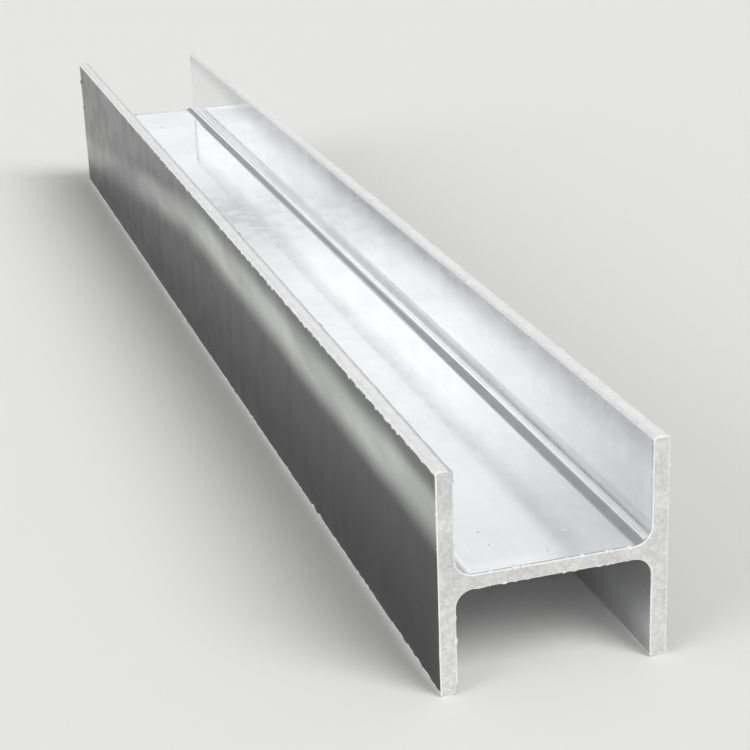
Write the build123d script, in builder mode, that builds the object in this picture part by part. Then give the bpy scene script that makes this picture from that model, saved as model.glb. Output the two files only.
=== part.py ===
from build123d import *
import os

# Short length of hot-dip galvanized steel H-section, rolled in one piece with parallel flanges,
# cut square and lying with its web level, so that it stands on the lower toes of both flanges.
# X runs across the web, Y along the beam and Z up. The origin is under the middle of the beam,
# at the level of the surface that the beam lies on.

# Driving dimensions, in millimetres
section_depth = 100.0  # over the outer faces of the two flanges
flange_width = 100.0  # from toe to toe of one flange
flange_thickness = 7.0
web_thickness = 6.0
root_radius = 8.0  # rolled fillet where the web meets a flange
toe_radius = 1.5  # rolled corner at each edge of a flange toe
beam_length = 900.0  # between the two saw-cut ends

# Sizes that follow from them
clear_depth = section_depth - 2 * flange_thickness
flange_outstand = (flange_width - web_thickness) / 2
flange_spacing = section_depth - flange_thickness
section_height = flange_width / 2

# Rounded corners, each limited by its walls so that a flat is left between two of them
least_flat = 0.2
toe_corner = min(toe_radius, (flange_thickness - least_flat) / 2)
root_corner = min(root_radius, (clear_depth - least_flat) / 2, flange_outstand - toe_corner - least_flat)

# The beam: two flanges and a web drawn as one section, and rolled to length
with BuildPart() as h_beam:
    with BuildSketch(Plane.XZ) as section:
        with Locations((0, section_height)):
            with GridLocations(flange_spacing, 0, 2, 1):
                Rectangle(flange_thickness, flange_width)
            flange_corners = section.vertices()
            Rectangle(clear_depth, web_thickness)
        root_corners = section.vertices() - flange_corners
        fillet(root_corners, root_corner)
        toe_corners = section.vertices().group_by(Axis.Y)[0] + section.vertices().group_by(Axis.Y)[-1]
        fillet(toe_corners, toe_corner)
    extrude(amount=beam_length / 2, both=True)

h_beam.part.label = "h_beam"

os.makedirs("parts", exist_ok=True)
export_step(h_beam.part, "parts/h_beam.step")
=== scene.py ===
"""Looks of a short length of hot-dip galvanized steel H-section, lying with its web level.

Lengths are in metres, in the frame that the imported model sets: X runs across the web, Y along
the beam and Z up, with the floor at zero height. The beam is made again here with the zinc
coat's relief on it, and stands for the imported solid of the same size.
"""

import logging
import math
import random
from dataclasses import dataclass, field
from enum import Enum

import bmesh
import bpy
from mathutils import Matrix, Vector, noise


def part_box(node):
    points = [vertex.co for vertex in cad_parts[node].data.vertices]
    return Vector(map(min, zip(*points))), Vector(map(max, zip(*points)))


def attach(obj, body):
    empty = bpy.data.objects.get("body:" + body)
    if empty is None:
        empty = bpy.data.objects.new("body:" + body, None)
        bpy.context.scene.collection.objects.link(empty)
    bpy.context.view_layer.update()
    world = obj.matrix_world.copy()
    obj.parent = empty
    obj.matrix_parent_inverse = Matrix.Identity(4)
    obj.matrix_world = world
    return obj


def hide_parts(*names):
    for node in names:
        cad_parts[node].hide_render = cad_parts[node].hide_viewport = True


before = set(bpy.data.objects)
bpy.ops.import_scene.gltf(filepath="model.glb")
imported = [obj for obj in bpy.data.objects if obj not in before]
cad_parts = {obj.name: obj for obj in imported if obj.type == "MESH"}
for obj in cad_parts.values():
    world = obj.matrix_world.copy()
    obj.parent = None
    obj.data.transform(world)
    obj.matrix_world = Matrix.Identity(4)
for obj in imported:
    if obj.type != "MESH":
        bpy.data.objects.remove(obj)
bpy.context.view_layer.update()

BEAM_NODE = "h_beam"
BODY = "root"
FRAME_PIXELS = 750
WATTS_FOR_RADIANCE = 4.0
TINY = 1e-6
WELD = 1e-5

# How far a face's normal points along the beam: on the saw cut, and at least on its rounded edge
SQUARE = 0.999
LEANING = 0.1

# Waves of the finishes' patterns to a metre, along X, Y and Z where there are three
ROLL_LINE_WAVES = (420.0, 6.0, 420.0)
DRAIN_RUN_WAVES = (40.0, 45.0, 12.0)
RIPPLE_WAVES = (55.0, 35.0, 55.0)
TOE_SHADE_WAVES = (1.0, 5.0, 5.0)
HIGHLIGHT_RIM_WAVES = (1.0, 170.0, 60.0)
GRAIN_WAVES = 900.0
PIMPLE_WAVES = 260.0
NOISE_ROUGHNESS = 0.55

# Where the finishes change, in metres: heights are counted up or down from the web's middle, and
# the reach along the beam from its middle to the front
WEB_LEVEL = 0.05
DULL_REACH = (0.22, 0.5)
DULL_WANDER = 0.06
# Painted shade near the toes: the heights over which it comes in, and how far its edge wanders
TOE_SHADE_HEIGHT = (0.040, 0.058)
TOE_SHADE_WANDER = 0.02
# A painted grey line of shade along the left flange's toes: their inner edge, the line's width, and
# the heights that it keeps to
INNER_EDGE = -0.043
INNER_EDGE_WIDTH = (0.0008, 0.0026)
INNER_EDGE_HEIGHT = (0.044, 0.048)

# The bright zinc of the toes, and a painted highlight where their colour is carried over their
# corners onto the outer faces, ragged where its noise passes a level
TOE_ZINC = (1.0, 0.998, 0.99)
TOE_METAL = 0.3
TOE_CORNER_HEIGHT = 0.0485
HIGHLIGHT_RIM_LEVEL = 0.42
HIGHLIGHT_RIM_BLUR = 0.0004

log = logging.getLogger("h_beam")

Socket = bpy.types.NodeSocket
Triple = tuple[float, float, float]
Colour = Triple
Pair = tuple[float, float]


class Zone(Enum):
    """The parts of the beam's surface that take a finish of their own."""

    CHANNEL = 0
    OUTER_FACE = 1
    TOE = 2
    CUT_END = 3


class Wiring:
    """Adds nodes to one node tree and joins them."""

    def __init__(self, tree: bpy.types.NodeTree) -> None:
        """Keep the tree that the nodes go into.

        Args:
            tree: the node tree of a material, a world or a group.
        """
        self.tree = tree

    def add(self, kind: str, **settings: object) -> bpy.types.Node:
        """Add a node and set its properties.

        Args:
            kind: the node's type name.
            settings: the node's properties by name.

        Returns:
            The new node.
        """
        node = self.tree.nodes.new(kind)
        for name, value in settings.items():
            setattr(node, name, value)
        return node

    def feed(self, target: Socket, value: Socket | float | tuple[float, ...]) -> None:
        """Join a socket to another one, or give it a plain value.

        Args:
            target: the input to feed.
            value: the output that feeds it, or its value.
        """
        if isinstance(value, Socket):
            self.tree.links.new(value, target)
        else:
            target.default_value = value

    def maths(self, operation: str, first: Socket | float, second: Socket | float = 0.0) -> Socket:
        """Work out one sum of two numbers.

        Args:
            operation: the Math node's operation.
            first: the first number.
            second: the second number.

        Returns:
            The result's socket.
        """
        node = self.add("ShaderNodeMath", operation=operation)
        self.feed(node.inputs[0], first)
        self.feed(node.inputs[1], second)
        return node.outputs["Value"]

    def stretch(self, vector: Socket, factors: Triple) -> Socket:
        """Scale a place along each axis, so that a pattern on it is drawn out.

        Args:
            vector: the place.
            factors: what each coordinate is multiplied by.

        Returns:
            The scaled place's socket.
        """
        node = self.add("ShaderNodeVectorMath", operation="MULTIPLY")
        self.feed(node.inputs[0], vector)
        node.inputs[1].default_value = factors
        return node.outputs["Vector"]

    def cloud(
        self,
        place: Socket,
        waves: Socket | float | Triple,
        detail: float,
        distortion: float = 0.0,
    ) -> Socket:
        """Add fractal noise around a half.

        Args:
            place: the place that the noise is read at.
            waves: waves to a metre, one number or one for each axis.
            detail: how many finer octaves are added.
            distortion: how far the noise is bent by itself.

        Returns:
            The noise's socket.
        """
        if isinstance(waves, tuple):
            place = self.stretch(place, waves)
            waves = 1.0
        node = self.add("ShaderNodeTexNoise")
        self.feed(node.inputs["Vector"], place)
        self.feed(node.inputs["Scale"], waves)
        node.inputs["Detail"].default_value = detail
        node.inputs["Roughness"].default_value = NOISE_ROUGHNESS
        node.inputs["Distortion"].default_value = distortion
        return node.outputs["Fac"]

    def axes(self, place: Socket) -> dict[str, Socket]:
        """Part a place into its coordinates.

        Args:
            place: the place.

        Returns:
            The sockets of X, Y and Z by name.
        """
        node = self.add("ShaderNodeSeparateXYZ")
        self.feed(node.inputs[0], place)
        return {socket.name: socket for socket in node.outputs}

    def distance(self, value: Socket, origin: float) -> Socket:
        """Measure how far a number is from a fixed one, on either side."""
        return self.maths("ABSOLUTE", self.maths("SUBTRACT", value, origin))

    def wander(self, value: Socket, drift: Socket, amount: float) -> Socket:
        """Move a number by a share of a noise, so that an edge drawn at it wanders."""
        return self.maths("ADD", value, self.maths("MULTIPLY", drift, amount))

    def remap(
        self,
        value: Socket,
        source: Pair,
        target: tuple[Socket | float, Socket | float] = (0.0, 1.0),
    ) -> Socket:
        """Move a number smoothly from one range to another, held at its ends.

        Args:
            value: the number.
            source: the range that it comes in.
            target: the range that it goes to.

        Returns:
            The moved number's socket.
        """
        node = self.add("ShaderNodeMapRange", interpolation_type="SMOOTHSTEP")
        self.feed(node.inputs["Value"], value)
        node.inputs["From Min"].default_value = source[0]
        node.inputs["From Max"].default_value = source[1]
        self.feed(node.inputs["To Min"], target[0])
        self.feed(node.inputs["To Max"], target[1])
        return node.outputs["Result"]

    def ramp(self, value: Socket, stops: tuple[Pair, ...]) -> Socket:
        """Read a level off a smooth curve through a few stops.

        Args:
            value: the number, from nought to one.
            stops: the place and level of each stop, the first at nought and the last at one.

        Returns:
            The level's socket.
        """
        node = self.add("ShaderNodeValToRGB")
        node.color_ramp.interpolation = "EASE"
        points = node.color_ramp.elements
        for place, level in stops[1:-1]:
            points.new(place).color = (level, level, level, 1.0)
        for point, (_, level) in ((points[0], stops[0]), (points[-1], stops[-1])):
            point.color = (level, level, level, 1.0)
        self.feed(node.inputs["Fac"], value)
        return node.outputs["Color"]

    def blend(self, factor: Socket, first: Socket | Colour, second: Socket | Colour) -> Socket:
        """Mix two colours.

        Args:
            factor: nought for the first colour and one for the second.
            first: the first colour.
            second: the second colour.

        Returns:
            The mixed colour's socket.
        """
        node = self.add("ShaderNodeMix", data_type="RGBA")
        self.feed(node.inputs[0], factor)
        # The node's sockets for numbers and vectors come before those for colours.
        for socket, value in zip(node.inputs[6:8], (first, second)):
            self.feed(socket, value if isinstance(value, Socket) else (*value, 1.0))
        return node.outputs[2]

    def shade(self, colour: Socket, amount: Socket) -> Socket:
        """Make a colour lighter or darker.

        Args:
            colour: the colour.
            amount: what it is multiplied by.

        Returns:
            The shaded colour's socket.
        """
        node = self.add("ShaderNodeVectorMath", operation="SCALE")
        self.feed(node.inputs[0], colour)
        self.feed(node.inputs["Scale"], amount)
        return node.outputs["Vector"]

    def effect(self, group: bpy.types.NodeTree, **values: Socket | float) -> dict[str, Socket]:
        """Place a shared effect and feed its inputs.

        Args:
            group: the effect's node group.
            values: what feeds each input, with underscores for spaces in its name.

        Returns:
            The effect's outputs by name.
        """
        node = self.add("ShaderNodeGroup")
        node.node_tree = group
        for name, value in values.items():
            self.feed(node.inputs[name.replace("_", " ")], value)
        return {socket.name: socket for socket in node.outputs}


class Effect(Wiring):
    """A shader node group with named inputs and outputs, built once for several finishes."""

    def __init__(self, name: str, inputs: tuple[str, ...], outputs: tuple[str, ...]) -> None:
        """Make the group, its sockets and its two end nodes.

        Args:
            name: the group's name.
            inputs: the names of the inputs that follow the place, all plain numbers.
            outputs: the names of the outputs, all plain numbers.
        """
        super().__init__(bpy.data.node_groups.new(name, "ShaderNodeTree"))
        sockets = self.tree.interface
        sockets.new_socket("Vector", in_out="INPUT", socket_type="NodeSocketVector")
        for way, names in (("INPUT", inputs), ("OUTPUT", outputs)):
            for socket in names:
                sockets.new_socket(socket, in_out=way, socket_type="NodeSocketFloat")
        self.given = self.add("NodeGroupInput").outputs
        self.result = self.add("NodeGroupOutput").inputs


class SharedEffects:
    """The zinc effects that more than one finish uses."""

    def __init__(self) -> None:
        """Build the groups."""
        self.mottle = self._mottle()
        self.streaks = self._streaks()
        self.relief = self._relief()

    @staticmethod
    def _mottle() -> bpy.types.NodeTree:
        """Build soft clouds, faint crystal patches and fine specks.

        Returns:
            The node group.
        """
        effect = Effect(
            "zinc_mottle",
            ("Cloud Scale", "Patch Scale", "Speck Scale"),
            ("Cloud", "Patch", "Speck"),
        )
        for kind, detail, distortion, contrast in (
            ("Cloud", 1.5, 0.4, (0.3, 0.7)),
            ("Patch", 1.0, 0.0, (0.36, 0.64)),
            ("Speck", 1.0, 0.0, (0.52, 0.72)),
        ):
            scale = effect.given[kind + " Scale"]
            spots = effect.cloud(effect.given["Vector"], scale, detail, distortion)
            effect.feed(effect.result[kind], effect.remap(spots, contrast))
        return effect.tree

    @staticmethod
    def _streaks() -> bpy.types.NodeTree:
        """Build faint lines left by the rolls, and runs left by the draining zinc.

        Returns:
            The node group.
        """
        effect = Effect("zinc_streaks", (), ("Roll Lines", "Drain Runs"))
        place = effect.given["Vector"]
        along = effect.cloud(place, ROLL_LINE_WAVES, 3.0)
        effect.feed(effect.result["Roll Lines"], effect.remap(along, (0.3, 0.7)))
        down = effect.cloud(place, DRAIN_RUN_WAVES, 2.0, 0.4)
        effect.feed(effect.result["Drain Runs"], effect.remap(down, (0.32, 0.68)))
        return effect.tree

    @staticmethod
    def _relief() -> bpy.types.NodeTree:
        """Build the coat's fine relief as a height in metres.

        Returns:
            The node group.
        """
        effect = Effect(
            "zinc_relief", ("Ripple Height", "Grain Height", "Pimple Height"), ("Height",)
        )
        place = effect.given["Vector"]
        ripple = effect.cloud(place, RIPPLE_WAVES, 1.0)
        grain = effect.cloud(place, GRAIN_WAVES, 1.0)
        pimple = effect.remap(effect.cloud(place, PIMPLE_WAVES, 1.0), (0.62, 0.78))
        total = effect.maths("MULTIPLY", ripple, effect.given["Ripple Height"])
        fine = effect.maths("MULTIPLY", grain, effect.given["Grain Height"])
        coarse = effect.maths("MULTIPLY", pimple, effect.given["Pimple Height"])
        total = effect.maths("ADD", total, effect.maths("ADD", fine, coarse))
        effect.feed(effect.result["Height"], total)
        return effect.tree


@dataclass(frozen=True)
class PaintedReflectionBand:
    """A painted reflection: the lighter, smoky-looking band that runs along a flange's outer face
    and sinks at its back, with painted shade above it and less of it towards the back.

    Edges, sinking and wander are in metres of height, and reaches in metres along the beam. The
    other pairs say how much of the band is left at each end of a range.
    """

    sinking: float = 0.05
    sinking_reach: Pair = (-0.05, 0.5)
    wander: float = 0.012
    wander_waves: Triple = (1.0, 7.0, 4.0)
    lower_edge: Pair = (0.068, 0.086)
    upper_edge: Pair = (0.089, 0.103)
    above: Pair = (1.0, 0.12)
    wisps: Pair = (0.74, 1.0)
    wisp_waves: Triple = (1.0, 9.0, 60.0)
    clouds: Pair = (0.92, 1.0)
    fading: Pair = (1.0, 0.3)
    fading_reach: Pair = (-0.1, 0.4)

    def tone(self, wiring: Wiring, place: Socket, cloud: Socket) -> Socket:
        """Draw the painted reflection band.

        Args:
            wiring: the material's nodes.
            place: the place on the beam.
            cloud: the soft clouds, which break the band up.

        Returns:
            The band's socket, one in its middle.
        """
        axes = wiring.axes(place)
        drift = wiring.cloud(place, self.wander_waves, 2.0)
        wisps = wiring.cloud(place, self.wisp_waves, 1.0, 0.5)
        sink = wiring.remap(axes["Y"], self.sinking_reach, (0.0, self.sinking))
        height = wiring.wander(wiring.maths("ADD", axes["Z"], sink), drift, self.wander)
        band = wiring.remap(height, self.lower_edge)
        for share in (
            wiring.remap(height, self.upper_edge, self.above),
            wiring.remap(wisps, (0.36, 0.60), self.wisps),
            wiring.remap(cloud, (0.0, 1.0), self.clouds),
            wiring.remap(axes["Y"], self.fading_reach, self.fading),
        ):
            band = wiring.maths("MULTIPLY", band, share)
        return band


@dataclass(frozen=True)
class ZincFinish:
    """A hot-dip zinc surface, as it looks on one zone of the beam.

    Colours run from the dull clouds of the coat to its bright ones, and roughness with its patches;
    on the outer faces the colours run from painted shade to a painted reflection. Heights and the
    highlight rim's wander are in metres, the scales are waves to a metre, and a depth is the share
    of the light that a pattern takes away.
    """

    name: str
    dull: Colour
    bright: Colour
    roughness: Pair
    metal: float = 0.85
    grazing_tint: float = 1.0
    dull_front: float = 0.0
    cloud_scale: float = 18.0
    patch_scale: float = 110.0
    speck_scale: float = 400.0
    patch_depth: float = 0.05
    speck_depth: float = 0.0
    line_depth: float = 0.03
    run_depth: float = 0.0
    ripple_height: float = 0.00003
    grain_height: float = 0.0
    pimple_height: float = 0.0
    # Painted shade towards the toes, as a share of the light taken away
    painted_toe_shade_depth: float = 0.0
    # Painted shade in a grey line along the left toes' inner edges
    painted_edge_line_depth: float = 0.0
    # A painted reflection band along the outer faces, with painted shade above it
    band: PaintedReflectionBand | None = None
    # A painted highlight rim by the toes: how far its edge wanders, in metres
    painted_highlight_rim: float = 0.0

    def material(self, shared: SharedEffects) -> bpy.types.Material:
        """Make the material.

        Args:
            shared: the effects that the finishes share.

        Returns:
            The new material.
        """
        material = bpy.data.materials.new(self.name)
        material.use_nodes = True
        wiring = Wiring(material.node_tree)
        shader = material.node_tree.nodes["Principled BSDF"]
        shader.inputs["Metallic"].default_value = self.metal
        shader.inputs["Specular Tint"].default_value = (*[self.grazing_tint] * 3, 1.0)
        place = wiring.add("ShaderNodeTexCoord").outputs["Object"]
        mottle = wiring.effect(
            shared.mottle,
            Vector=place,
            Cloud_Scale=self.cloud_scale,
            Patch_Scale=self.patch_scale,
            Speck_Scale=self.speck_scale,
        )
        streaks = wiring.effect(shared.streaks, Vector=place)
        tone = mottle["Cloud"]
        # On the outer faces the tone is the painted reflection band, so their dull colour is
        # painted shade and their bright one a painted reflection
        if self.band:
            tone = self.band.tone(wiring, place, tone)
        colour = wiring.blend(tone, self.dull, self.bright)
        colour = wiring.shade(colour, self._variation(wiring, mottle, streaks))
        # Painted shade, greyer towards the toes
        if self.painted_toe_shade_depth:
            colour = wiring.shade(colour, self._painted_toe_shade(wiring, place))
        # Painted shade in a grey line along the left flange's toes, on their inner edges
        if self.painted_edge_line_depth:
            colour = wiring.shade(colour, self._painted_edge_line(wiring, place))
        # Painted highlight: the toes' bright, less metallic zinc carried in a ragged rim onto the
        # outer faces by the toes
        if self.painted_highlight_rim:
            highlight_mask = self._painted_highlight_mask(wiring, place)
            colour = wiring.blend(highlight_mask, colour, TOE_ZINC)
            metal = wiring.remap(highlight_mask, (0.0, 1.0), (self.metal, TOE_METAL))
            wiring.feed(shader.inputs["Metallic"], metal)
        wiring.feed(shader.inputs["Base Color"], colour)
        rough = wiring.remap(mottle["Patch"], (0.0, 1.0), self.roughness)
        if self.dull_front:
            rough = wiring.maths("ADD", rough, self._dulling(wiring, place, mottle["Cloud"]))
        wiring.feed(shader.inputs["Roughness"], rough)
        relief = wiring.effect(
            shared.relief,
            Vector=place,
            Ripple_Height=self.ripple_height,
            Grain_Height=self.grain_height,
            Pimple_Height=self.pimple_height,
        )
        bump = wiring.add("ShaderNodeBump")
        bump.inputs["Distance"].default_value = 1.0
        wiring.feed(bump.inputs["Height"], relief["Height"])
        wiring.feed(shader.inputs["Normal"], bump.outputs["Normal"])
        return material

    def _variation(
        self, wiring: Wiring, mottle: dict[str, Socket], streaks: dict[str, Socket]
    ) -> Socket:
        """Multiply the faint patches, specks and streaks into one shade.

        Args:
            wiring: the material's nodes.
            mottle: the mottle's outputs.
            streaks: the streaks' outputs.

        Returns:
            The shade's socket, around one.
        """
        shade: Socket | float = 1.0
        for mask, depth in (
            (mottle["Patch"], self.patch_depth),
            (mottle["Speck"], self.speck_depth),
            (streaks["Roll Lines"], self.line_depth),
            (streaks["Drain Runs"], self.run_depth),
        ):
            part = wiring.remap(mask, (0.0, 1.0), (1.0 - depth, 1.0))
            shade = wiring.maths("MULTIPLY", part, shade)
        return shade

    def _dulling(self, wiring: Wiring, place: Socket, cloud: Socket) -> Socket:
        """Make the coat rougher towards the front end, in an uneven way.

        Args:
            wiring: the material's nodes.
            place: the place on the beam.
            cloud: the soft clouds, which break the change up.

        Returns:
            The socket of what is added to the roughness.
        """
        forward = wiring.maths("MULTIPLY", wiring.axes(place)["Y"], -1.0)
        reach = wiring.wander(forward, cloud, DULL_WANDER)
        return wiring.remap(reach, DULL_REACH, (0.0, self.dull_front))

    def _painted_toe_shade(self, wiring: Wiring, place: Socket) -> Socket:
        """Paint shade onto the coat, greyer towards the toes, with an edge that wanders.

        Args:
            wiring: the material's nodes.
            place: the place on the beam.

        Returns:
            The shade's socket, one away from the toes.
        """
        drift = wiring.cloud(place, TOE_SHADE_WAVES, 2.0)
        height = wiring.distance(wiring.axes(place)["Z"], WEB_LEVEL)
        height = wiring.wander(height, drift, TOE_SHADE_WANDER)
        return wiring.remap(height, TOE_SHADE_HEIGHT, (1.0, 1.0 - self.painted_toe_shade_depth))

    def _painted_highlight_mask(self, wiring: Wiring, place: Socket) -> Socket:
        """Paint a highlight in a ragged rim by the toes, where their whitish colour is carried a
        little way over their edges onto the outer face.

        Args:
            wiring: the material's nodes.
            place: the place on the beam.

        Returns:
            The mask's socket, one on the painted highlight.
        """
        drift = wiring.cloud(place, HIGHLIGHT_RIM_WAVES, 2.0)
        height = wiring.distance(wiring.axes(place)["Z"], WEB_LEVEL)
        edge = TOE_CORNER_HEIGHT + HIGHLIGHT_RIM_LEVEL * self.painted_highlight_rim
        return wiring.remap(wiring.wander(height, drift, self.painted_highlight_rim), (edge, edge + HIGHLIGHT_RIM_BLUR))

    def _painted_edge_line(self, wiring: Wiring, place: Socket) -> Socket:
        """Paint a grey line of shade along the left flange's toes, on their inner edges.

        Args:
            wiring: the material's nodes.
            place: the place on the beam.

        Returns:
            The shade's socket, one away from the line.
        """
        axes = wiring.axes(place)
        across = wiring.distance(axes["X"], INNER_EDGE)
        line = wiring.remap(across, INNER_EDGE_WIDTH, (1.0 - self.painted_edge_line_depth, 1.0))
        height = wiring.distance(axes["Z"], WEB_LEVEL)
        return wiring.maths("MAXIMUM", line, wiring.remap(height, INNER_EDGE_HEIGHT, (1.0, 0.0)))


def put(name: str, data: bpy.types.ID) -> bpy.types.Object:
    """Put an object in the scene.

    Args:
        name: the object's name.
        data: its mesh, lamp or lens.

    Returns:
        The new object.
    """
    thing = bpy.data.objects.new(name, data)
    bpy.context.scene.collection.objects.link(thing)
    return thing


def heading(azimuth: float, elevation: float) -> Vector:
    """Turn two angles into a direction.

    Args:
        azimuth: degrees from the beam's back end towards its right side.
        elevation: degrees above the level.

    Returns:
        The direction, of length one.
    """
    turn = math.radians(azimuth)
    rise = math.radians(elevation)
    return Vector(
        (math.sin(turn) * math.cos(rise), math.cos(turn) * math.cos(rise), math.sin(rise))
    )


def everything(mesh: bmesh.types.BMesh) -> list:
    """Return every vertex, edge and face of a mesh."""
    return [*mesh.verts, *mesh.edges, *mesh.faces]


def cut(mesh: bmesh.types.BMesh, parts: list, axis: int, place: float) -> None:
    """Cut the given faces where they cross a plane, without parting the mesh.

    Args:
        mesh: the mesh to cut.
        parts: the vertices, edges and faces that may be cut.
        axis: the axis that the plane is square to.
        place: where the plane crosses that axis.
    """
    normal = Vector([float(i == axis) for i in range(3)])
    bmesh.ops.bisect_plane(
        mesh, geom=parts, dist=TINY, plane_co=normal * place, plane_no=normal
    )


def round_edges(
    mesh: bmesh.types.BMesh, edges: list[bmesh.types.BMEdge], radius: float, segments: int
) -> None:
    """Round edges to an arc.

    Args:
        mesh: the mesh.
        edges: the edges to round.
        radius: the arc's radius.
        segments: the number of facets round the arc.
    """
    bmesh.ops.bevel(
        mesh,
        geom=edges,
        offset=radius,
        offset_type="OFFSET",
        segments=segments,
        profile=0.5,
        affect="EDGES",
        material=-1,
    )


def to_object(
    mesh: bmesh.types.BMesh, name: str, materials: list[bpy.types.Material]
) -> bpy.types.Object:
    """Turn a finished mesh into an object of the scene.

    Args:
        mesh: the mesh, which is freed.
        name: the object's name.
        materials: its materials, in the order of the faces' numbers.

    Returns:
        The new object.
    """
    data = bpy.data.meshes.new(name)
    open_edges = sum(len(edge.link_faces) != 2 for edge in mesh.edges)
    mesh.to_mesh(data)
    mesh.free()
    for material in materials:
        data.materials.append(material)
    triangles = sum(len(face.vertices) - 2 for face in data.polygons)
    log.info("%s: %d triangles, %d open edges", name, triangles, open_edges)
    return put(name, data)


@dataclass
class ZincCoat:
    """How far the zinc stands off the steel, apart from an even film.

    Heights, lengths and reaches are in metres. The fine lumps are a share of the toe lumps'
    length, and the weights say how much of each kind of lump a toe gets.
    """

    wave_height: float = 0.000016
    wave_length: Triple = (0.03, 0.09, 0.03)
    toe_lump_height: float = 0.0005
    toe_lump_length: float = 0.006
    fine_share: float = 0.4
    coarse_weight: float = 0.7
    fine_weight: float = 0.5
    toe_reach: float = 0.0016
    end_swell: float = 0.00018
    end_reach: float = 0.012
    end_lump_height: float = 0.0003

    def swell(self, point: Vector, toe_distance: float, end_distance: float) -> float:
        """Work out the coat's height at one point.

        Args:
            point: the place on the beam.
            toe_distance: how far it is below the nearer toe.
            end_distance: how far it is from the nearer cut end.

        Returns:
            The height over the even film.
        """
        drawn_out = Vector(p / w for p, w in zip(point, self.wave_length))
        height = self.wave_height * noise.noise(drawn_out)
        lumps = noise.noise(point / self.toe_lump_length)
        fine = max(0.0, noise.noise(point / (self.fine_share * self.toe_lump_length)))
        toe = max(0.0, 1.0 - toe_distance / self.toe_reach)
        uneven = self.coarse_weight * lumps + self.fine_weight * fine
        height += toe * self.toe_lump_height * uneven
        end = max(0.0, 1.0 - end_distance / self.end_reach)
        height += end * end * (self.end_swell + self.end_lump_height * fine)
        return height


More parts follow.
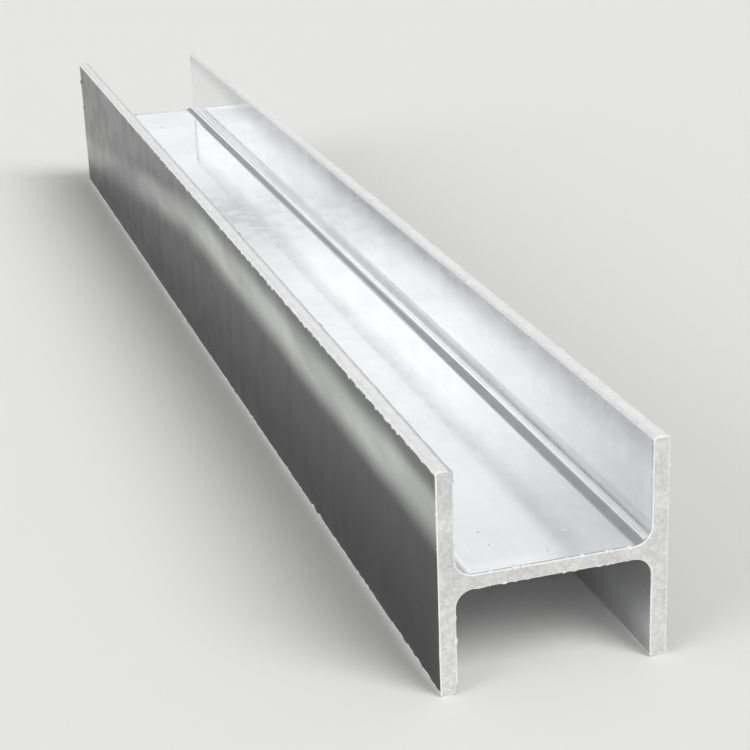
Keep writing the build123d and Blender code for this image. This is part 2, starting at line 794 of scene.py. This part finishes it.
@dataclass
class RolledBeam:
    """Two flanges and a web rolled as one section, sawn square to length and galvanized.

    The box's corners and the rolled sizes come first, and then how finely the mesh is divided.
    """

    low: Vector
    high: Vector
    flange_thickness: float = 0.007
    web_thickness: float = 0.006
    root_radius: float = 0.008
    toe_radius: float = 0.0015
    arris_radius: float = 0.0004
    root_segments: int = 7
    toe_segments: int = 3
    arris_segments: int = 2
    rim_width: float = 0.0005
    hold: float = 0.0005
    flat_hold: float = 0.001
    web_facet: float = 0.010
    flange_facet: float = 0.008
    end_facet: float = 0.002
    rings_to_half: int = 280
    end_crowding: float = 0.45
    coat: ZincCoat = field(default_factory=ZincCoat)

    def __post_init__(self) -> None:
        """Work out the section's levels from the box."""
        self.half_length = (self.high.y - self.low.y) / 2
        self.outer = self.high.x
        self.inner = self.outer - self.flange_thickness
        self.middle = (self.low.z + self.high.z) / 2
        self.half_width = (self.high.z - self.low.z) / 2
        self.half_web = self.web_thickness / 2

    def build(self, finishes: dict[Zone, bpy.types.Material]) -> bpy.types.Object:
        """Make the beam and put it in the scene.

        Args:
            finishes: the material of each zone.

        Returns:
            The beam's object.
        """
        mesh = self._half_blank()
        self._round_roots_and_toes(mesh)
        self._round_cut_end(mesh)
        self._score(mesh)
        self._score_cut_end(mesh)
        self._divide_length(mesh)
        bmesh.ops.mirror(
            mesh, geom=everything(mesh), matrix=Matrix.Identity(4), merge_dist=WELD, axis="Y"
        )
        bmesh.ops.recalc_face_normals(mesh, faces=mesh.faces)
        self._mark_zones(mesh)
        self._lay_coat(mesh)
        return to_object(mesh, BEAM_NODE + "_galvanized", [finishes[zone] for zone in Zone])

    def _half_blank(self) -> bmesh.types.BMesh:
        """Draw the section as one flat outline, and roll it to the front half of the length.

        Returns:
            The sharp-edged front half, open at the middle of the beam.
        """
        mesh = bmesh.new()
        upright = Matrix.Rotation(math.pi / 2, 4, "X")
        bmesh.ops.create_grid(mesh, x_segments=1, y_segments=1, size=1.0, matrix=upright)
        bmesh.ops.scale(mesh, vec=(self.outer, 1.0, self.half_width), verts=mesh.verts)
        bmesh.ops.translate(mesh, vec=(0.0, 0.0, self.middle), verts=mesh.verts)
        for side in (-1, 1):
            cut(mesh, everything(mesh), 0, side * self.inner)
            cut(mesh, everything(mesh), 2, self.middle + side * self.half_web)
        channels = [face for face in mesh.faces if self._in_channel(face.calc_center_median())]
        bmesh.ops.delete(mesh, geom=channels, context="FACES")
        bmesh.ops.dissolve_faces(mesh, faces=mesh.faces[:])
        on_outer_face = [
            vert
            for vert in mesh.verts
            if abs(vert.co.x) > self.inner + TINY
            and abs(vert.co.z - self.middle) < self.half_width - TINY
        ]
        bmesh.ops.dissolve_verts(mesh, verts=on_outer_face)
        rolled = bmesh.ops.extrude_face_region(mesh, geom=mesh.faces[:])["geom"]
        front = [part for part in rolled if isinstance(part, bmesh.types.BMVert)]
        bmesh.ops.translate(mesh, vec=(0.0, -self.half_length, 0.0), verts=front)
        bmesh.ops.recalc_face_normals(mesh, faces=mesh.faces)
        across_middle = [face for face in mesh.faces if face.normal.y > SQUARE]
        bmesh.ops.delete(mesh, geom=across_middle, context="FACES_ONLY")
        return mesh

    def _in_channel(self, point: Vector) -> bool:
        """Tell whether a point of the section lies between the flanges, clear of the web."""
        return abs(point.x) < self.inner and abs(point.z - self.middle) > self.half_web

    def _long_edges(self, mesh: bmesh.types.BMesh) -> list[bmesh.types.BMEdge]:
        """Return the edges that run along the beam, nearly from the middle to the end."""
        reach = 0.9 * self.half_length
        return [edge for edge in mesh.edges if abs(edge.verts[0].co.y - edge.verts[1].co.y) > reach]

    def _round_roots_and_toes(self, mesh: bmesh.types.BMesh) -> None:
        """Round the four roots and the two edges of each toe.

        Args:
            mesh: the front half, still sharp.
        """
        roots = []
        toes = []
        for edge in self._long_edges(mesh):
            height = abs(edge.verts[0].co.z - self.middle)
            (toes if height > self.half_width - TINY else roots).append(edge)
        round_edges(mesh, roots, self.root_radius, self.root_segments)
        round_edges(mesh, toes, self.toe_radius, self.toe_segments)

    def _round_cut_end(self, mesh: bmesh.types.BMesh) -> None:
        """Round the arris of the saw cut, and draw a rim inside it.

        Args:
            mesh: the rounded front half.
        """
        cut_end = self._flat_end(mesh)
        round_edges(mesh, cut_end[0].edges[:], self.arris_radius, self.arris_segments)
        bmesh.ops.inset_region(
            mesh, faces=self._flat_end(mesh), thickness=self.rim_width, use_even_offset=True
        )

    @staticmethod
    def _flat_end(mesh: bmesh.types.BMesh) -> list[bmesh.types.BMFace]:
        """Return the flat faces of the cut end, without its rim's small ones."""
        flat = [face for face in mesh.faces if face.normal.y < -SQUARE]
        largest = max(face.calc_area() for face in flat)
        return [face for face in flat if face.calc_area() > 0.5 * largest]

    def _score(self, mesh: bmesh.types.BMesh) -> None:
        """Cut facets across the web and flanges, with lines close to each rounded corner.

        Args:
            mesh: the front half with its cut end.
        """
        web_edge = self.inner - self.root_radius - self.hold
        columns = round(2 * web_edge / self.web_facet)
        for column in range(columns + 1):
            cut(mesh, everything(mesh), 0, web_edge * (2 * column / columns - 1))
        quarter = self.flange_thickness / 4
        for side in (-1, 1):
            for step in (1, 2, 3):
                cut(mesh, everything(mesh), 0, side * (self.inner + step * quarter))
        root_edge = self.half_web + self.root_radius + self.hold
        toe_edge = self.half_width - self.toe_radius - self.hold
        flat_edge = toe_edge - self.flat_hold
        rows = round((flat_edge - root_edge) / self.flange_facet)
        heights = [root_edge + (flat_edge - root_edge) * row / rows for row in range(rows + 1)]
        for height in (*heights, toe_edge):
            cut(mesh, everything(mesh), 2, self.middle + height)
            cut(mesh, everything(mesh), 2, self.middle - height)

    def _score_cut_end(self, mesh: bmesh.types.BMesh) -> None:
        """Cut the flat of the cut end into small cells, so that it can carry relief.

        Args:
            mesh: the front half with its facets.
        """
        for axis, reach, origin in ((0, self.outer, 0.0), (2, self.half_width, self.middle)):
            steps = round(2 * reach / self.end_facet)
            for step in range(1, steps):
                level = origin + reach * (2 * step / steps - 1)
                flat = [face for face in mesh.faces if face.normal.y < -SQUARE]
                edges = {edge for face in flat for edge in face.edges}
                verts = {vert for face in flat for vert in face.verts}
                cut(mesh, [*verts, *edges, *flat], axis, level + TINY)

    def _divide_length(self, mesh: bmesh.types.BMesh) -> None:
        """Divide the half length into rings that crowd towards the cut end.

        Args:
            mesh: the front half.
        """
        edges = self._long_edges(mesh)
        bmesh.ops.subdivide_edges(mesh, edges=edges, cuts=self.rings_to_half, use_grid_fill=True)
        for vert in mesh.verts:
            share = -vert.co.y / self.half_length
            crowded = share * (1 + self.end_crowding) - self.end_crowding * share * share
            vert.co.y = -self.half_length * crowded

    def _mark_zones(self, mesh: bmesh.types.BMesh) -> None:
        """Give each face the finish of its zone, and smooth shading.

        Args:
            mesh: the whole beam.
        """
        toe_level = self.half_width - self.toe_radius
        for face in mesh.faces:
            face.smooth = True
            centre = face.calc_center_median()
            if abs(face.normal.y) > SQUARE:
                zone = Zone.CUT_END
            elif abs(centre.z - self.middle) > toe_level or abs(face.normal.y) > LEANING:
                zone = Zone.TOE
            elif abs(centre.x) > self.outer - TINY:
                zone = Zone.OUTER_FACE
            else:
                zone = Zone.CHANNEL
            face.material_index = zone.value

    def _lay_coat(self, mesh: bmesh.types.BMesh) -> None:
        """Move each vertex out along its normal by the height of the zinc there.

        Args:
            mesh: the whole beam.
        """
        mesh.normal_update()
        moves = []
        for vert in mesh.verts:
            toe_distance = self.half_width - abs(vert.co.z - self.middle)
            end_distance = self.half_length - abs(vert.co.y)
            moves.append(vert.normal * self.coat.swell(vert.co, toe_distance, end_distance))
        for vert, move in zip(mesh.verts, moves):
            vert.co += move
            vert.co.z = max(vert.co.z, self.low.z)


@dataclass
class ZincBeads:
    """Small nodules that the draining zinc leaves along the toes and the cut edges."""

    beam: RolledBeam
    seed: int = 7
    on_toes: int = 120
    on_flange_ends: int = 60
    on_web_ends: int = 110
    on_web: int = 16
    width: Pair = (0.0004, 0.0013)
    stretch: Pair = (0.7, 1.3)
    flatness: Pair = (0.2, 0.45)
    roughness: float = 0.25
    corner_inset: float = 0.3
    end_gap: float = 0.004
    web_reach: float = 0.12

    def build(self, finish: bpy.types.Material) -> bpy.types.Object:
        """Make the nodules as one mesh and put it in the scene.

        Args:
            finish: the nodules' material.

        Returns:
            The nodules' object.
        """
        chance = random.Random(self.seed)
        mesh = bmesh.new()
        for count, choose in (
            (self.on_toes, self._on_toe),
            (self.on_flange_ends, self._on_flange_end),
            (self.on_web_ends, self._on_web_end),
            (self.on_web, self._on_web),
        ):
            for _ in range(count):
                self._bead(mesh, chance, *choose(chance))
        for face in mesh.faces:
            face.smooth = True
        return to_object(mesh, "zinc_beads", [finish])

    def _on_toe(self, chance: random.Random) -> tuple[Vector, Vector]:
        """Choose a place along an edge of a toe.

        Args:
            chance: the source of random numbers.

        Returns:
            The place, and the way that it faces.
        """
        beam = self.beam
        side = chance.choice((-1, 1))
        level = chance.choice((-1, 1, 1))
        outward = chance.choice((-1, 1))
        middle = (beam.outer + beam.inner) / 2
        inset = self.corner_inset * beam.toe_radius
        edge = middle + outward * (beam.flange_thickness / 2 - inset)
        along = chance.uniform(-1, 1) * (beam.half_length - self.end_gap)
        height = beam.middle + level * (beam.half_width - inset)
        return Vector((side * edge, along, height)), Vector((side * outward, 0.0, level))

    def _on_flange_end(self, chance: random.Random) -> tuple[Vector, Vector]:
        """Choose a place along the cut edges of a flange.

        Args:
            chance: the source of random numbers.

        Returns:
            The place, and the way that it faces.
        """
        beam = self.beam
        side = chance.choice((-1, 1))
        end = chance.choice((-1, 1))
        outward = chance.choice((-1, 1))
        edge = beam.outer if outward > 0 else beam.inner
        clear = beam.half_web + beam.root_radius
        height = chance.choice((-1, 1)) * chance.uniform(clear, beam.half_width - beam.toe_radius)
        place = Vector((side * edge, end * beam.half_length, beam.middle + height))
        return place, Vector((side * outward, end, 0.0))

    def _on_web_end(self, chance: random.Random) -> tuple[Vector, Vector]:
        """Choose a place along the cut edges of the web, mostly on the lower one.

        Args:
            chance: the source of random numbers.

        Returns:
            The place, and the way that it faces.
        """
        beam = self.beam
        end = chance.choice((-1, 1))
        level = chance.choice((-1, -1, -1, 1))
        across = chance.uniform(-1, 1) * (beam.inner - beam.root_radius)
        place = Vector((across, end * beam.half_length, beam.middle + level * beam.half_web))
        return place, Vector((0.0, end, level))

    def _on_web(self, chance: random.Random) -> tuple[Vector, Vector]:
        """Choose a place on the web near an end, less often away from it.

        Args:
            chance: the source of random numbers.

        Returns:
            The place, and the way that it faces.
        """
        beam = self.beam
        inward = self.web_reach * chance.random() ** 2
        along = chance.choice((-1, 1)) * (beam.half_length - inward)
        across = chance.uniform(-1, 1) * (beam.inner - beam.root_radius)
        level = chance.choice((-1, 1))
        place = Vector((across, along, beam.middle + level * beam.half_web))
        return place, Vector((0.0, 0.0, level))

    def _bead(
        self, mesh: bmesh.types.BMesh, chance: random.Random, place: Vector, facing: Vector
    ) -> None:
        """Add one nodule, flat, half sunk and out of round.

        Args:
            mesh: the mesh that takes it.
            chance: the source of random numbers.
            place: its middle.
            facing: the way that its flat dome faces.
        """
        small, large = self.width
        width = small + (large - small) * chance.random() ** 2
        spread = [width * chance.uniform(*self.stretch) for _ in range(2)]
        shape = Matrix.Diagonal((*spread, width * chance.uniform(*self.flatness), 1.0))
        turn = facing.to_track_quat("Z", "Y").to_matrix().to_4x4()
        spin = Matrix.Rotation(chance.uniform(0.0, math.tau), 4, "Z")
        ball = bmesh.ops.create_icosphere(
            mesh,
            subdivisions=2,
            radius=1.0,
            matrix=Matrix.Translation(place) @ turn @ spin @ shape,
        )
        for vert in ball["verts"]:
            dent = self.roughness * noise.noise(vert.co / width)
            vert.co += (vert.co - place) * dent
            vert.co.z = max(vert.co.z, self.beam.low.z)


@dataclass(frozen=True)
class Light:
    """A light that shines from a direction, given in degrees."""

    name: str
    azimuth: float
    elevation: float

    def hang(self, lamp: bpy.types.Light) -> tuple[bpy.types.Object, Vector]:
        """Put a lamp in the scene, turned to shine from the light's direction.

        Args:
            lamp: the lamp's data.

        Returns:
            The lamp's object, and the direction.
        """
        away = heading(self.azimuth, self.elevation)
        holder = put(self.name, lamp)
        holder.rotation_euler = away.to_track_quat("Z", "Y").to_euler()
        return holder, away


@dataclass(frozen=True)
class SoftLamp(Light):
    """A rectangular soft lamp that faces the beam."""

    distance: float
    size: Pair
    radiance: float
    colour: Colour = (1.0, 1.0, 1.0)

    def place(self, target: Vector) -> None:
        """Put the lamp in the scene.

        Args:
            target: the point that it faces.
        """
        lamp = bpy.data.lights.new(self.name, "AREA")
        lamp.shape = "RECTANGLE"
        lamp.size, lamp.size_y = self.size
        lamp.energy = self.radiance * WATTS_FOR_RADIANCE * self.size[0] * self.size[1]
        lamp.color = self.colour
        holder, away = self.hang(lamp)
        holder.location = target + away * self.distance
        holder.visible_camera = False


@dataclass(frozen=True)
class BroadLight(Light):
    """A broad light from far off, which the zinc doesn't mirror."""

    strength: float
    spread: float

    def place(self) -> None:
        """Put the light in the scene."""
        lamp = bpy.data.lights.new(self.name, "SUN")
        lamp.energy = self.strength
        lamp.angle = math.radians(self.spread)
        holder, _ = self.hang(lamp)
        holder.visible_glossy = False


@dataclass
class Studio:
    """A pale floor, surroundings of long soft strips, and a few plain lights."""

    target: Vector
    floor_half: float = 14.0
    floor_colour: Colour = (0.80, 0.80, 0.79)
    floor_roughness: float = 0.9
    floor_sheen: float = 0.1
    bright_colour: Colour = (0.98, 0.99, 1.00)
    dim_colour: Colour = (0.30, 0.305, 0.31)
    fill_colour: Colour = (0.36, 0.36, 0.36)
    strips: tuple[Pair, ...] = (
        (0.0, 0.95), (0.125, 0.95), (0.175, 0.5), (0.238, 0.15), (0.262, 1.0),
        (0.31, 1.0), (0.365, 0.1), (0.555, 0.1), (0.605, 1.0), (1.0, 1.0),
    )
    strips_slant: float = 2.0
    strips_by_rise: tuple[Pair, ...] = (
        (0.0, 0.85), (0.19, 0.85), (0.23, 1.0), (0.252, 1.0), (0.264, 0.4),
        (0.276, 0.4), (0.288, 1.0), (0.38, 1.0), (0.70, 0.0), (1.0, 0.0),
    )
    lowest_rise: float = 0.02
    broad_lights: tuple[BroadLight, ...] = (
        BroadLight("main_light", 150.0, 47.0, 2.09, 34.0),
        BroadLight("side_light", 250.0, 20.0, 1.3, 40.0),
    )
    lamps: tuple[SoftLamp, ...] = (
        SoftLamp("left_window", -18.0, 18.0, 3.2, (1.2, 0.85), 0.21, (0.96, 0.98, 1.0)),
    )

    def build(self) -> None:
        """Make the floor, the surroundings and the lamps."""
        self._floor()
        self._surroundings()
        for light in self.broad_lights:
            light.place()
        for lamp in self.lamps:
            lamp.place(self.target)
        bpy.context.scene.view_settings.view_transform = "Standard"

    def _floor(self) -> None:
        """Lay the floor."""
        mesh = bmesh.new()
        bmesh.ops.create_grid(mesh, x_segments=1, y_segments=1, size=self.floor_half)
        data = bpy.data.meshes.new("floor")
        mesh.to_mesh(data)
        mesh.free()
        material = bpy.data.materials.new("pale_floor")
        material.use_nodes = True
        shader = material.node_tree.nodes["Principled BSDF"]
        shader.inputs["Base Color"].default_value = (*self.floor_colour, 1.0)
        shader.inputs["Roughness"].default_value = self.floor_roughness
        shader.inputs["Specular IOR Level"].default_value = self.floor_sheen
        data.materials.append(material)
        floor = put("floor", data)

    def _surroundings(self) -> None:
        """Show the zinc long soft strips, bright and dim, and light the rest with an even fill."""
        world = bpy.data.worlds.new("studio")
        bpy.context.scene.world = world
        world.use_nodes = True
        wiring = Wiring(world.node_tree)
        background = world.node_tree.nodes["Background"]
        direction = wiring.add("ShaderNodeTexCoord").outputs["Generated"]
        axes = wiring.axes(direction)
        rise = wiring.maths("MAXIMUM", axes["Z"], self.lowest_rise)
        slant = wiring.maths("DIVIDE", axes["X"], rise)
        slant = wiring.maths("DIVIDE", slant, 2.0 * self.strips_slant)
        level = wiring.ramp(wiring.maths("ADD", slant, 0.5), self.strips)
        level = wiring.maths("MULTIPLY", level, wiring.ramp(rise, self.strips_by_rise))
        colour = wiring.blend(level, self.dim_colour, self.bright_colour)
        path = wiring.add("ShaderNodeLightPath").outputs
        seen = wiring.maths("MAXIMUM", path["Is Camera Ray"], path["Is Glossy Ray"])
        seen = wiring.maths("MAXIMUM", seen, path["Is Transmission Ray"])
        colour = wiring.blend(seen, self.fill_colour, colour)
        wiring.feed(background.inputs["Color"], colour)


@dataclass(frozen=True)
class StationCamera:
    """The camera at the photograph's own station, with a longer lens that one beam fills."""

    eye: Vector
    azimuth: float
    elevation: float
    roll: float
    lens_pixels: float

    def place(self) -> None:
        """Put the camera in the scene and make it the scene's own."""
        lens = bpy.data.cameras.new("station")
        lens.sensor_fit = "HORIZONTAL"
        lens.lens = self.lens_pixels * lens.sensor_width / FRAME_PIXELS
        lens.clip_start = 0.01
        lens.clip_end = 100.0
        camera = put("station", lens)
        ahead = heading(self.azimuth, self.elevation)
        level = ahead.to_track_quat("-Z", "Y").to_matrix().to_4x4()
        leaning = Matrix.Rotation(math.radians(self.roll), 4, "Z")
        camera.matrix_world = Matrix.Translation(self.eye) @ level @ leaning
        bpy.context.scene.camera = camera


def zinc_finishes() -> dict[Zone, ZincFinish]:
    """Return the finish of each zone of the beam."""
    return {
        Zone.CHANNEL: ZincFinish(
            "channel_zinc",
            dull=(0.91, 0.915, 0.92),
            bright=(0.97, 0.975, 0.98),
            roughness=(0.07, 0.10),
            metal=0.95,
            dull_front=0.09,
            patch_scale=90.0,
            patch_depth=0.04,
            line_depth=0.02,
            run_depth=0.02,
            ripple_height=0.000006,
            # Painted shade towards the toes of the flanges' inner faces
            painted_toe_shade_depth=0.30,
        ),
        # The outer faces' dark colour is painted shade and their bright one a painted reflection
        # band, standing in for dark and bright surroundings that they mirror; the rim by the toes
        # is a painted highlight
        Zone.OUTER_FACE: ZincFinish(
            "outer_face_zinc",
            dull=(0.125, 0.132, 0.129),
            bright=(0.97, 0.99, 0.98),
            roughness=(0.20, 0.26),
            metal=0.95,
            grazing_tint=0.75,
            cloud_scale=14.0,
            patch_scale=40.0,
            patch_depth=0.0,
            line_depth=0.0,
            run_depth=0.03,
            band=PaintedReflectionBand(),
            painted_highlight_rim=0.006,
        ),
        Zone.TOE: ZincFinish(
            "toe_zinc",
            dull=(0.93, 0.93, 0.925),
            bright=TOE_ZINC,
            roughness=(0.34, 0.46),
            metal=TOE_METAL,
            cloud_scale=120.0,
            patch_depth=0.04,
            speck_depth=0.07,
            line_depth=0.0,
            grain_height=0.00002,
            # Painted shade in a grey line along the left toes' inner edges
            painted_edge_line_depth=0.4,
        ),
        Zone.CUT_END: ZincFinish(
            "cut_end_zinc",
            dull=(0.84, 0.84, 0.835),
            bright=(0.97, 0.965, 0.96),
            roughness=(0.42, 0.55),
            metal=0.6,
            cloud_scale=60.0,
            patch_scale=420.0,
            speck_scale=1500.0,
            patch_depth=0.12,
            speck_depth=0.14,
            grain_height=0.00003,
            pimple_height=0.0001,
        ),
    }


def main() -> None:
    """Build the beam, its nodules, the studio and the camera."""
    logging.basicConfig(level=logging.INFO, format="%(name)s: %(message)s")
    shared = SharedEffects()
    finishes = {zone: finish.material(shared) for zone, finish in zinc_finishes().items()}
    low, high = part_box(BEAM_NODE)
    rolled = RolledBeam(low, high)
    beam = rolled.build(finishes)
    beads = ZincBeads(rolled).build(finishes[Zone.TOE])
    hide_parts(BEAM_NODE)
    for piece in (beam, beads):
        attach(piece, BODY)
    Studio(target=(low + high) / 2).build()
    StationCamera(
        eye=Vector((-0.2576, -1.0737, 0.3896)),
        azimuth=16.5,
        elevation=-20.69,
        roll=-2.2,
        lens_pixels=1847.0,
    ).place()


if __name__ == "__main__":
    main()
